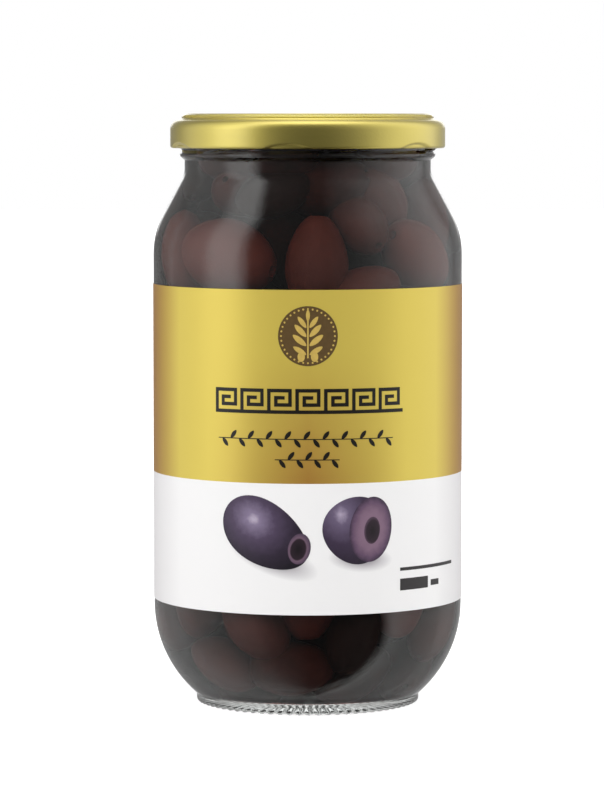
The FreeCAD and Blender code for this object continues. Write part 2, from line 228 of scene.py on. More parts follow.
def cut_across(places):
    """Cuts the open piece straight through at each place on X."""
    for place in places:
        bpy.ops.mesh.select_all(action="SELECT")
        bpy.ops.mesh.bisect(plane_co=(place, 0, 0), plane_no=(1, 0, 0))


def named(name):
    """The active piece, with its name and its mesh's name set."""
    piece = bpy.context.active_object
    piece.name = piece.data.name = name
    return piece


def select_where(piece, test):
    """Selects the vertices of the open piece whose place passes the test."""
    bpy.ops.mesh.select_mode(type="VERT")
    bpy.ops.mesh.select_all(action="DESELECT")
    mesh = bmesh.from_edit_mesh(piece.data)
    for vert in mesh.verts:
        vert.select_set(test(vert.co))
    mesh.select_flush_mode()
    bmesh.update_edit_mesh(piece.data)


def reshape(piece, rule):
    """Moves the closed piece's vertices: rule takes and gives an array of x, y, z."""
    places = np.empty(len(piece.data.vertices) * 3)
    piece.data.vertices.foreach_get("co", places)
    piece.data.vertices.foreach_set("co", rule(places.reshape(-1, 3)).ravel())
    piece.data.update()


def rounded(corners, step=math.radians(4)):
    """Points of an outline (radius, height, rounding) with each rounding turned into a short arc."""
    points = []
    for i, (across, up, rounding) in enumerate(corners):
        corner = Vector((across, up))
        if not rounding:
            points.append(corner)
            continue
        before = (Vector(corners[i - 1][:2]) - corner).normalized()
        after = (Vector(corners[i + 1][:2]) - corner).normalized()
        half = before.angle(after) / 2
        centre = corner + (before + after).normalized() * rounding / math.sin(half)
        first = corner + before * rounding / math.tan(half) - centre
        last = corner + after * rounding / math.tan(half) - centre
        turn = first.angle_signed(last)
        pieces = max(2, math.ceil(abs(turn) / step))
        for k in range(pieces + 1):
            arm = first.copy()
            arm.rotate(Matrix.Rotation(-turn * k / pieces, 2))
            points.append(centre + arm)
    return points


def divided(points, pitch, low, high):
    """The outline with its sides between two heights cut into pieces no longer than the pitch."""
    out = [points[0]]
    for a, b in zip(points, points[1:]):
        inside = low <= min(a.y, b.y) and max(a.y, b.y) <= high
        pieces = math.ceil((b - a).length / pitch) if inside else 1
        out += [a.lerp(b, k / pieces) for k in range(1, pieces + 1)]
    return out


def draw_outline(name, points):
    """A chain of edges through the points (radius, height), extruded one vertex at a time."""
    deselect()
    first = Vector((points[0].x, 0, points[0].y))
    bpy.ops.mesh.primitive_plane_add(size=MM, location=first)
    piece = named(name)
    bpy.ops.object.transform_apply(location=True)
    bpy.ops.object.mode_set(mode="EDIT")
    bpy.ops.mesh.select_mode(type="VERT")
    bpy.ops.mesh.merge(type="CENTER")
    for a, b in zip(points, points[1:]):
        step = Vector((b.x - a.x, 0, b.y - a.y))
        bpy.ops.mesh.extrude_region_move(TRANSFORM_OT_translate={"value": step})
    return piece


def turned(name, points, steps, smooth=35):
    """A closed turned shape: an outline from axis to axis, spun once round Z."""
    piece = draw_outline(name, points)
    bpy.ops.mesh.select_all(action="SELECT")
    bpy.ops.mesh.spin(steps=steps, angle=2 * math.pi, center=(0, 0, 0), axis=(0, 0, 1))
    bpy.ops.mesh.select_all(action="SELECT")
    bpy.ops.mesh.remove_doubles(threshold=0.002 * MM)
    bpy.ops.mesh.normals_make_consistent(inside=False)
    close_edit()
    bpy.ops.object.shade_smooth_by_angle(angle=math.radians(smooth))
    return piece


def settle(piece, material, node_slot, *nodes, body="root"):
    """Finishes a piece and hands it to the frame: what it rides on and what it replaces. The slot name is
    not used.
    """
    give(piece, material)
    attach(piece, body)
    if nodes:
        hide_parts(*nodes)


# ---------------------------------------------------------------- materials

def add_node(tree, kind, inputs=None, stops=None, **settings):
    """Adds a shader node: inputs maps a socket to a value, or to the socket or the node (for its
    first output) that feeds it."""
    node = tree.nodes.new("ShaderNode" + kind)
    for name, value in settings.items():
        setattr(node, name, value)
    if stops:
        ramp = node.color_ramp
        while len(ramp.elements) < len(stops):
            ramp.elements.new(1.0)
        for element, (place, shade) in zip(ramp.elements, stops):
            element.position, element.color = place, shade
    for key, value in (inputs or {}).items():
        if isinstance(value, bpy.types.Node):
            value = value.outputs[0]
        if isinstance(value, bpy.types.NodeSocket):
            tree.links.new(value, node.inputs[key])
        else:
            node.inputs[key].default_value = value
    return node


def new_material(name):
    material = bpy.data.materials.new(name)
    material.use_nodes = True
    material.node_tree.nodes.clear()
    return material, material.node_tree


def give(piece, material):
    piece.data.materials.clear()
    piece.data.materials.append(material)


def let_lamps_through(tree, glass, tint):
    """Shader that is the glass for every ray but those towards lamps, which it only tints."""
    path = add_node(tree, "LightPath")
    clear = add_node(tree, "BsdfTransparent", {"Color": tint})
    return add_node(tree, "MixShader", {0: path.outputs["Is Shadow Ray"], 1: glass, 2: clear})


def flint_glass():
    """Clear soda-lime container glass, blown in a mould: colourless, fire-polished and glossy, a
    little wavy over centimetres and finely pebbled, which breaks up the edge of a reflection."""
    colours = bpy.context.scene.jar_colours
    material, tree = new_material("moulded flint glass")
    place = add_node(tree, "TexCoord").outputs["Object"]
    waves = add_node(tree, "TexNoise", {"Vector": place, "Scale": 55.0, "Detail": 1.0})
    pebbles = add_node(tree, "TexNoise", {"Vector": place, "Scale": 700.0, "Detail": 2.0})
    wavy = add_node(tree, "Bump", {"Height": waves, "Strength": 1.0, "Distance": 0.2 * MM})
    pebbled = add_node(tree, "Bump", {"Height": pebbles, "Strength": 1.0, "Distance": 0.013 * MM,
        "Normal": wavy})
    glass = add_node(tree, "BsdfPrincipled", {"Base Color": colours.glass, "Roughness": 0.03,
        "IOR": 1.52, "Transmission Weight": 1.0, "Specular Tint": linear("#dddddd"),
        "Normal": pebbled})
    surface = let_lamps_through(tree, glass, linear("#eef2ee"))
    add_node(tree, "OutputMaterial", {"Surface": surface})
    return material


def olive_brine():
    """Salt brine stained by the olives: clear, a little denser than water, amber where it is thin
    and red-brown to nearly black where it is deep."""
    material, tree = new_material("olive brine")
    brine = add_node(tree, "BsdfPrincipled", {"Base Color": linear("#ffffff"), "Roughness": 0.0,
        "IOR": 1.36, "Transmission Weight": 1.0, "Specular Tint": linear("#000000")})
    surface = let_lamps_through(tree, brine, linear("#ffffff"))
    depth = add_node(tree, "VolumeAbsorption", {"Color": linear("#dda582"), "Density": 115.0})
    add_node(tree, "OutputMaterial", {"Surface": surface, "Volume": depth})
    return material


def olive_skin():
    """Cured black olive: thin waxy skin, dark maroon with paler red-brown flushes and fine specks,
    matt under brine because brine and skin bend light almost alike."""
    colours = bpy.context.scene.jar_colours
    material, tree = new_material("cured olive skin")
    place = add_node(tree, "TexCoord").outputs["Object"]
    tone = add_node(tree, "Attribute", attribute_name="tone").outputs["Fac"]
    cut = add_node(tree, "Attribute", attribute_name="cut").outputs["Fac"]
    patches = add_node(tree, "TexNoise", {"Vector": place, "Scale": 95.0, "Detail": 4.0,
        "Roughness": 0.6})
    specks = add_node(tree, "TexNoise", {"Vector": place, "Scale": 1100.0, "Detail": 2.0})
    share = add_node(tree, "Math", {0: patches, 1: 0.55, 2: -0.22}, operation="MULTIPLY_ADD")
    share = add_node(tree, "Math", {0: share, 1: tone}, operation="ADD", use_clamp=True)
    skin = add_node(tree, "Mix", {"Factor": share, 6: colours.olive, 7: colours.flush},
        data_type="RGBA")
    shade = add_node(tree, "Mix", {0: cut, 6: skin.outputs[2], 7: colours.flesh}, data_type="RGBA")
    bump = add_node(tree, "Bump", {"Height": specks, "Strength": 0.6, "Distance": 0.07 * MM})
    flesh = add_node(tree, "BsdfPrincipled", {"Base Color": shade.outputs[2], "Roughness": 0.55,
        "Specular IOR Level": 0.12, "Normal": bump})
    add_node(tree, "OutputMaterial", {"Surface": flesh})
    return material


def gold_lacquer():
    """Tinplate under a satin gold lacquer, roller-coated: bright broad reflections with a fine
    orange-peel grain."""
    colours = bpy.context.scene.jar_colours
    material, tree = new_material("satin gold lacquer on tinplate")
    place = add_node(tree, "TexCoord").outputs["Object"]
    grain = add_node(tree, "TexNoise", {"Vector": place, "Scale": 1500.0, "Detail": 2.0})
    uneven = add_node(tree, "TexNoise", {"Vector": place, "Scale": 60.0, "Detail": 3.0})
    sheen = add_node(tree, "MapRange", {"Value": uneven, "To Min": 0.36, "To Max": 0.44})
    bump = add_node(tree, "Bump", {"Height": grain, "Strength": 0.8, "Distance": 0.035 * MM})
    metal = add_node(tree, "BsdfPrincipled", {"Base Color": colours.lacquer, "Metallic": 1.0,
        "Roughness": sheen, "Coat Weight": 0.8, "Coat Roughness": 0.18, "Normal": bump})
    add_node(tree, "OutputMaterial", {"Surface": metal})
    return material


def label_stock():
    """Metallised label paper, satin varnished, overprinted opaque white below: the foil shines in
    soft bands, the white field stays matt."""
    colours = bpy.context.scene.jar_colours
    sizes = bpy.context.scene.label_sizes
    material, tree = new_material("metallised label paper")
    place = add_node(tree, "TexCoord").outputs["Object"]
    height = add_node(tree, "SeparateXYZ", {0: place}).outputs["Z"]
    foil = add_node(tree, "Math", {0: height, 1: sizes.field_top}, operation="GREATER_THAN")
    fibres = add_node(tree, "TexNoise", {"Vector": place, "Scale": 700.0, "Detail": 3.0})
    split = add_node(tree, "SeparateXYZ", {0: place})
    # Painted shade: the foil turns browner and the white field greyer towards the label's sides.
    aside = add_node(tree, "Math", {0: split.outputs["X"]}, operation="ABSOLUTE")
    # Browner towards the foil's lower middle: partly a printed gradient, partly painted shade.
    middle = add_node(tree, "MapRange", {"Value": aside, "From Max": 30 * MM, "To Min": 1.0,
        "To Max": 0.0})
    low = add_node(tree, "MapRange", {"Value": height, "From Min": 112 * MM, "From Max": 74 * MM,
        "To Min": 0.1, "To Max": 0.9})
    foot = add_node(tree, "Math", {0: middle, 1: low}, operation="MULTIPLY")
    # Painted shade towards the label's sides.
    edge = add_node(tree, "MapRange", {"Value": aside, "From Min": 39 * MM, "From Max": 47.5 * MM,
        "To Max": 1.0})
    painted_shade_and_print = add_node(tree, "Math", {0: foot, 1: edge}, operation="MAXIMUM")
    gold = add_node(tree, "Mix", {0: painted_shade_and_print, 6: colours.foil, 7: colours.print_and_shade_gold},
        data_type="RGBA")
    # Painted shade: the white field turns greyer towards the label's sides.
    shaded = add_node(tree, "Math", {0: edge, 1: 0.6}, operation="MULTIPLY")
    field = add_node(tree, "Mix", {0: shaded, 6: colours.field, 7: linear("#cfccce")},
        data_type="RGBA")
    shade = add_node(tree, "Mix", {0: foil, 6: field.outputs[2], 7: gold.outputs[2]},
        data_type="RGBA")
    metallic = add_node(tree, "Math", {0: foil, 1: 0.32}, operation="MULTIPLY")
    rough = add_node(tree, "MapRange", {"Value": foil, "To Min": 0.6, "To Max": 0.36})
    bump = add_node(tree, "Bump", {"Height": fibres, "Strength": 0.5, "Distance": 0.02 * MM})
    paper = add_node(tree, "BsdfPrincipled", {"Base Color": shade.outputs[2], "Metallic": metallic,
        "Roughness": rough, "Normal": bump})
    add_node(tree, "OutputMaterial", {"Surface": paper})
    return material


def printing_ink(name, shade, rough=0.45):
    """Offset ink on varnished paper: a thin satin film with a slightly mottled cover."""
    material, tree = new_material(name)
    place = add_node(tree, "TexCoord").outputs["Object"]
    mottle = add_node(tree, "TexNoise", {"Vector": place, "Scale": 900.0, "Detail": 2.0})
    cover = add_node(tree, "MapRange", {"Value": mottle, "To Min": 0.8, "To Max": 1.15})
    tinted = add_node(tree, "Mix", {0: 1.0, 6: shade, 7: cover}, data_type="RGBA",
        blend_type="MULTIPLY")
    ink = add_node(tree, "BsdfPrincipled", {"Base Color": tinted.outputs[2], "Roughness": rough})
    add_node(tree, "OutputMaterial", {"Surface": ink})
    return material


# ---------------------------------------------------------------- glass

def glass_corners():
    """Half outline of the outside of the glass, from under the base to the rim."""
    s = bpy.context.scene.jar_sizes
    foot = BODY_RADIUS - s.foot_inset
    neck = s.finish_radius - s.neck_inset
    rim = GLASS_HIGH.z
    neck_corner = rim - s.neck_drop
    shoulder_corner = neck_corner - (BODY_RADIUS - neck) / math.tan(s.slope)
    return [
        (0, s.push_up, 0),
        (s.push_flat, s.push_up, 5 * MM),
        (foot - s.ring_width, s.knurl_height, 0.8 * MM),
        (foot, s.knurl_height, 0.7 * MM),
        (foot, s.foot_height, 0),
        (BODY_RADIUS, s.foot_height + s.heel_rise, s.heel_radius),
        (BODY_RADIUS, shoulder_corner, s.shoulder_radius),
        (neck, neck_corner, s.neck_fillet),
        (neck, rim - s.bead_drop - 1.4 * MM, 0.4 * MM),
        (s.finish_radius + s.bead_out, rim - s.bead_drop, 1.1 * MM),
        (s.finish_radius, rim - s.bead_drop + 1.7 * MM, 0.4 * MM),
        (s.finish_radius, rim - s.thread_drop + s.thread_rise + s.thread_width, 0),
        (s.finish_radius, rim, s.rim_round),
    ]


def cavity_corners(reach=0.0):
    """Half outline of the inside of the glass from rim to floor, let into the wall by the reach."""
    s = bpy.context.scene.jar_sizes
    outer = glass_corners()
    wall = s.wall - reach
    half_slope = math.tan(s.slope / 2)
    slant = math.hypot(s.foot_inset, s.heel_rise)
    half_heel = (slant - s.heel_rise) / s.foot_inset
    heel_corner = outer[5][1] + wall * half_heel
    floor = s.base - reach
    floor_radius = BODY_RADIUS - wall - (heel_corner - floor) * s.foot_inset / s.heel_rise
    fit = 0.97 * (heel_corner - floor) * slant / s.heel_rise - s.floor_round
    bore = outer[7][0] - wall
    return [
        (bore, GLASS_HIGH.z, s.rim_round),
        (bore, outer[7][1] - wall * half_slope, s.neck_fillet + wall),
        (BODY_RADIUS - wall, outer[6][1] - wall * half_slope, s.shoulder_radius - wall),
        (BODY_RADIUS - wall, heel_corner, min(s.heel_radius - wall, fit / half_heel)),
        (floor_radius, floor, s.floor_round),
        (0, floor, 0),
    ]


def polar(places):
    """Radius and angle from +X of each point."""
    return np.hypot(places[:, 0], places[:, 1]), np.arctan2(places[:, 1], places[:, 0])


def with_radius(places, radius):
    """The points at a new radius, angle and height kept."""
    old = np.maximum(np.hypot(places[:, 0], places[:, 1]), 1e-9)
    out = places.copy()
    out[:, :2] *= (radius / old)[:, None]
    return out


def smooth_step(value):
    value = np.clip(value, 0, 1)
    return value * value * (3 - 2 * value)


def raise_threads(places):
    """Lifts the thread ridges out of the finish: six starts that climb to the right."""
    s = bpy.context.scene.jar_sizes
    radius, around = polar(places)
    low = GLASS_HIGH.z - s.thread_drop
    lift = np.zeros(len(places))
    pitch = 2 * math.pi / s.thread_count
    for start in range(s.thread_count):
        run = np.mod(around - s.thread_start - start * pitch, 2 * math.pi) / s.thread_span
        middle = low + s.thread_rise * run
        off = np.abs(places[:, 2] - middle) / (s.thread_width / 2)
        ends = smooth_step(run / 0.12) * smooth_step((1 - run) / 0.12)
        lift = np.maximum(lift, smooth_step((1 - off) * 1.6) * ends)
    on_finish = (radius > s.finish_radius - 0.05 * MM) & (places[:, 2] > low - s.thread_width)
    return with_radius(places, radius + s.thread_depth * lift * on_finish)


def cut_knurls(places):
    """Draws the slanted teeth down out of the bearing ring."""
    s = bpy.context.scene.jar_sizes
    radius, around = polar(places)
    foot = BODY_RADIUS - s.foot_inset
    across = (radius - (foot - s.ring_width / 2)) / (s.ring_width / 2)
    phase = s.knurl_count * (around - KNURL_SLANT * across)
    tooth = smooth_step(np.cos(phase) * 0.9 + 0.45)
    band = smooth_step((1.12 - np.abs(across)) / 0.3) * (places[:, 2] < 1.3 * MM)
    out = places.copy()
    out[:, 2] -= s.knurl_height * tooth * band * (places[:, 2] < s.foot_height)
    out[:, 2] = np.maximum(out[:, 2], 0)
    return out


class OLIVEJAR_OT_glass(bpy.types.Operator):
    """Turn the glass jar, with its threads, transfer bead and knurled bearing ring"""
    bl_idname = "olive_jar.glass"
    bl_label = "Glass jar"

    def execute(self, context):
        s = context.scene.jar_sizes
        points = rounded(glass_corners() + cavity_corners())
        threads = GLASS_HIGH.z - s.thread_drop - s.thread_width
        points = divided(points, 0.45 * MM, threads, threads + s.thread_rise + 2.1 * s.thread_width)
        points = divided(points, 0.5 * MM, 0, 1.2 * MM)
        jar = turned("glass_jar_body", points, s.around)
        reshape(jar, raise_threads)
        reshape(jar, cut_knurls)
        settle(jar, flint_glass(), "flint_glass", "glass_jar")
        return {"FINISHED"}


# ---------------------------------------------------------------- contents

class OLIVEJAR_OT_brine(bpy.types.Operator):
    """Pour the brine, its skin just inside the glass wall"""
    bl_idname = "olive_jar.brine"
    bl_label = "Brine"

    def execute(self, context):
        reach = context.scene.content_sizes.reach
        wet = cavity_corners(reach)
        level = BRINE_HIGH.z
        floor = context.scene.jar_sizes.base + BASE_GAP
        lifted = BASE_GAP_RADIUS
        corners = [(0, level, 0), (wet[0][0], level, 0)] + wet[1:-1]
        corners += [(lifted + 0.2 * MM, wet[-1][1], 0), (lifted, floor, 0), (0, floor, 0)]
        brine = turned("brine_fill", rounded(corners, math.radians(3)), 288)
        settle(brine, olive_brine(), "brine", "brine")
        return {"FINISHED"}


# Olives placed against the glass: turn from the front, height, lean from upright towards
# the right, pitch of the pit end out of the wall, size, and how flushed its skin is. Degrees,
# millimetres and shares.
PLACED_OLIVES = [
    (4, 137.5, 2, -4, 1.10, 0.60),
    (12, 160.0, 66, 30, 1.10, 0.15),
    (42, 155.5, -22, 8, 1.02, 0.60),
    (26, 149.0, 160, 56, 0.88, 0.40),
    (-40, 139.0, -78, 6, 1.22, 1.00),
    (-46, 157.5, 24, 60, 0.95, 0.30),
    (56, 139.5, -62, 4, 1.10, 0.95),
    (24, 128.5, 66, 0, 1.00, 0.80),
    (-18, 158.0, 70, -6, 0.92, -0.15),
    (-66, 139.0, -20, 6, 1.02, 0.70),
    (78, 149.0, 10, 10, 0.95, 0.50),
    (-14, 168.5, 84, 4, 0.82, 0.05),
    (52, 168.0, 76, 4, 0.86, 0.30),
    (-52, 168.5, -80, 4, 0.86, 0.15),
    (-1, 38.0, 178, 4, 1.08, 0.60),
    (42, 38.0, -14, 6, 1.12, 1.00),
    (-24, 30.0, -36, 0, 1.02, 0.55),
    (-52, 36.0, 30, 6, 1.08, 0.45),
    (-8, 16.0, 86, 0, 0.98, 0.25),
    (21, 26.0, 20, 0, 0.95, -0.20),
    (26, 14.5, 70, 0, 0.95, 0.00),
    (68, 27.0, 40, 0, 0.95, 0.40),
    (-44, 16.5, -70, 0, 0.92, 0.35),
]


def cavity_radius_at(heights, clear):
    """Radius of the cavity at each height, less a clearance."""
    points = rounded(cavity_corners(), math.radians(3))
    up = np.array([p.y for p in points[::-1]])
    across = np.array([p.x for p in points[::-1]])
    return np.interp(heights, up, across) - clear


def room_for_ball(ball, levels):
    """Largest distance from the axis at which a ball fits, for each of the levels."""
    room = np.full(len(levels), 1.0)
    for tilt in np.linspace(-1.3, 1.3, 27):
        wall = cavity_radius_at(levels + ball * math.sin(tilt), 0.15 * MM)
        room = np.minimum(room, wall - ball * math.cos(tilt))
    return room


def wall_axes(turn, lean, pitch):
    """Outward direction at a turn from the front, and an olive's long axis there."""
    out = np.array([math.sin(turn), -math.cos(turn), 0])
    side = np.array([math.cos(turn), math.sin(turn), 0])
    along = math.cos(lean) * np.array([0, 0, 1]) + math.sin(lean) * side
    return out, math.cos(pitch) * along + math.sin(pitch) * out


def pack_olives():
    """Places, long axes and sizes of the olives, after the loose ones have settled.

    Each olive counts as three balls in a row. Balls that overlap push each other apart, the wall,
    the core, the floor and the brine's surface push back, and the placed olives don't move."""
    s = bpy.context.scene.content_sizes
    rng = np.random.default_rng(s.seed)
    half, ball = s.olive_length / 2, s.olive_width / 2
    floor, top = bpy.context.scene.jar_sizes.base + 1.3 * MM, BRINE_HIGH.z - 1.0 * MM
    places, axes, scales = [], [], []
    for turn, height, lean, pitch, scale, _ in PLACED_OLIVES:
        out, axis = wall_axes(math.radians(turn), math.radians(lean), math.radians(pitch))
        places.append(np.array([0, 0, height * MM]) + out * 30 * MM)
        axes.append(axis)
        scales.append(scale)
    fixed = len(PLACED_OLIVES)
    for i in range(s.loose):
        turn = i * 2.39996 + rng.uniform(-0.3, 0.3)
        height = floor + (top - floor) * (i + 0.5) / s.loose
        out, axis = wall_axes(turn, rng.uniform(0, 2 * math.pi), rng.normal(0, 0.25))
        spread = 35 * MM if i % 4 else 26 * MM
        at = np.array([0, 0, height])
        if min(np.linalg.norm(at + out * spread - placed) for placed in places[:fixed]) < 18 * MM:
            spread = 20 * MM
        places.append(at + out * spread)
        axes.append(axis)
        scales.append(rng.uniform(0.92, 1.08))
    places, axes, scales = np.array(places), np.array(axes), np.array(scales)

    arms = np.array([-0.50, 0.0, 0.50]) * half
    balls = np.array([0.80, 1.0, 0.80]) * ball
    levels = np.linspace(floor, top, 240)
    rooms = [room_for_ball(b, levels) for b in balls]
    owner = np.repeat(np.arange(len(places)), 3)
    radii = (scales[:, None] * balls[None, :]).ravel()
    reach = radii[:, None] + radii[None, :]
    same = owner[:, None] == owner[None, :]
    yielding = np.where(owner < fixed, PLACED_YIELD, LOOSE_YIELD)[:, None]
    for turn in range(SETTLING_ROUNDS):
        centres = places[:, None, :] + axes[:, None, :] * (scales[:, None] * arms)[:, :, None]
        flat = centres.reshape(-1, 3)
        gap = flat[:, None, :] - flat[None, :, :]
        far = np.sqrt((gap ** 2).sum(2)) + 1e-9
        overlap = np.where(same, 0, np.clip(reach - far, 0, None))
        push = (gap / far[:, :, None] * overlap[:, :, None]).sum(1) * yielding
        radius, around = polar(flat)
        outward = np.stack([np.cos(around), np.sin(around), np.zeros(len(flat))], 1)
        room = np.empty(len(flat))
        for k in range(3):
            room[k::3] = np.interp(flat[k::3, 2], levels, rooms[k]) - radii[k::3] + balls[k]
        push -= outward * np.clip(radius - room, 0, None)[:, None]
        push += outward * np.clip(s.core_radius + radii - radius, 0, None)[:, None] * 0.5
        push[:, 2] += np.clip(floor + radii - flat[:, 2], 0, None)
        push[:, 2] -= np.clip(flat[:, 2] + radii - top, 0, None)
        push += outward * np.where(owner < fixed, 0.3, 0.1)[:, None] * MM * (turn < OUTWARD_ROUNDS)
        push = push.reshape(-1, 3, 3)
        shift = push.mean(1)
        twist = (push[:, 2] - push[:, 0]) / (scales[:, None] * (arms[2] - arms[0]))
        shift[:fixed, 2] = 0
        outer = outward.reshape(-1, 3, 3)[:fixed, 1]
        shift[:fixed] = outer * (shift[:fixed] * outer).sum(1, keepdims=True)
        twist[:fixed] = 0
        places = places + shift
        axes = axes + twist
        axes /= np.linalg.norm(axes, axis=1, keepdims=True)
    return places, axes, scales


def press_on_glass(places):
    """Flattens what would stand through the glass, the floor or the brine's surface."""
    air = 0.05 * MM
    radius, _ = polar(places)
    out = with_radius(places, np.minimum(radius, cavity_radius_at(places[:, 2], air)))
    out[:, 2] = np.clip(out[:, 2], bpy.context.scene.jar_sizes.base + air, BRINE_HIGH.z - air)
    return out


def olive_master():
    """One pitted olive, its long axis on Z and its pit hole at the top."""
    s = bpy.context.scene.content_sizes
    half, wide = s.olive_length / 2, s.olive_width / 2
    deselect()
    bpy.ops.mesh.primitive_uv_sphere_add(segments=24, ring_count=18, radius=1.0)
    olive = named("olive_master")

    def almond(places):
        height = places[:, 2]
        radius, _ = polar(places)
        pointed = 1 - 0.10 * height ** 2 - 0.06 * height
        out = places.copy()
        out[:, :2] *= (wide * pointed * (1 - 0.06 * radius * height ** 2))[:, None]
        out[:, 2] = half * (height - 0.03 * np.sign(height) * np.abs(height) ** 6)
        return out

    reshape(olive, almond)
    for end, depth in ((1, s.pit_depth), (-1, s.stab_depth)):
        edit(olive)
        tip = half * 0.955 * end
        select_where(olive, lambda co: (co.z - tip) * end > 0 and math.hypot(co.x, co.y) < TIP_RADIUS)
        bpy.ops.mesh.select_mode(type="VERT")
        if end > 0:
            flatten_to = half * 0.93
            bpy.ops.transform.resize(value=(1, 1, 0))
            level = [v.co.z for v in bmesh.from_edit_mesh(olive.data).verts if v.select]
            bpy.ops.transform.translate(value=(0, 0, flatten_to - level[0]))
        bpy.ops.mesh.extrude_region_move(TRANSFORM_OT_translate={"value": (0, 0, -end * 0.5 * MM)})
        bpy.ops.transform.resize(value=(0.86, 0.86, 1))
        bpy.ops.mesh.extrude_region_move(TRANSFORM_OT_translate={"value": (0, 0, -end * depth)})
        bpy.ops.transform.resize(value=(0.8, 0.8, 1))
        bpy.ops.mesh.select_all(action="SELECT")
        bpy.ops.mesh.normals_make_consistent(inside=False)
        close_edit()
    bpy.ops.object.shade_smooth_by_angle(angle=math.radians(50))
    return olive


class OLIVEJAR_OT_olives(bpy.types.Operator):
    """Pack the pitted olives against the glass, over a dark core"""
    bl_idname = "olive_jar.olives"
    bl_label = "Olives"

    def execute(self, context):
        s = context.scene.content_sizes
        rng = np.random.default_rng(s.seed + 1)
        master = olive_master()
        places, axes, scales = pack_olives()
        copies = []
        flushes = [placed[-1] for placed in PLACED_OLIVES]
        flushes += list(rng.normal(0.15, 0.25, len(places) - len(flushes)))
        for place, axis, scale, tone in zip(places, axes, scales, flushes):
            copy = bpy.data.objects.new("olive", master.data.copy())
            context.scene.collection.objects.link(copy)
            copy.data.attributes.new("tone", "FLOAT", "POINT")
            copy.data.attributes["tone"].data.foreach_set("value", [tone] * len(copy.data.vertices))
            slim = rng.uniform(0.94, 1.04)
            bend = rng.uniform(-0.05, 0.05)

            def shape(points):
                along = points[:, 2] / (s.olive_length / 2)
                out = points * np.array([slim, slim, 1.0])
                out[:, 0] += bend * s.olive_width * (1 - along ** 2)
                return out * scale

            reshape(copy, shape)
            turn = Vector((0, 0, 1)).rotation_difference(Vector(axis)).to_matrix().to_4x4()
            spin = Matrix.Rotation(rng.uniform(0, 2 * math.pi), 4, "Z")
            copy.data.transform(Matrix.Translation(Vector(place)) @ turn @ spin)
            copies.append(copy)
        bpy.data.objects.remove(master)
        deselect()
        for copy in copies:
            copy.select_set(True)
        context.view_layer.objects.active = copies[0]
        bpy.ops.object.join()
        olives = named("pitted_olives")
        reshape(olives, press_on_glass)
        settle(olives, olive_skin(), "olive_flesh", "olives")

        deselect()
        floor = context.scene.jar_sizes.base
        tall = BRINE_HIGH.z - floor - 16 * MM
        bpy.ops.mesh.primitive_uv_sphere_add(segments=48, ring_count=32, radius=1.0)
        core = named("olive_core")

        def lumpy(points):
            radius, around = polar(points)
            lump = 1 + 0.10 * np.sin(5 * around + 9 * points[:, 2]) * np.sin(7 * points[:, 2])
            side = np.minimum(1.0, radius * 1.5) * lump
            out = with_radius(points, side * (s.core_radius + 3 * MM))
            out[:, 2] = floor + 8 * MM + tall * (points[:, 2] + 1) / 2
            return out

        reshape(core, lumpy)
        bpy.ops.object.shade_smooth()
        settle(core, olives.data.materials[0], "olive_flesh")
        return {"FINISHED"}


# ---------------------------------------------------------------- lid

def press_dents(places):
    """Presses the arched dents into the foot of the skirt, and the lugs in from the rolled edge."""
    s = bpy.context.scene.lid_sizes
    radius, around = polar(places)
    low = LID_LOW.z
    skirt = LID_HIGH.x
    pitch = 2 * math.pi / s.lug_count
    off = np.mod(around - s.lug_start + pitch / 2, pitch) - pitch / 2
    across = off * skirt / (s.dent_width / 2)
    arch = low + s.dent_height * np.clip(1 - across ** 2, 0, 1)
    inside = (radius > skirt - 3 * s.curl) & (places[:, 2] < low + 4 * MM)
    below = smooth_step((arch - places[:, 2]) / DENT_EDGE) * (np.abs(across) < 1) * inside
    lug = smooth_step((1 - np.abs(across)) / 0.25) * inside
    inner = smooth_step((skirt - 1.0 * s.curl - radius) / (0.4 * s.curl))
    low_part = places[:, 2] < low + 1.2 * s.curl
    return with_radius(places, radius - s.dent_depth * below - s.lug_reach * lug * inner * low_part)


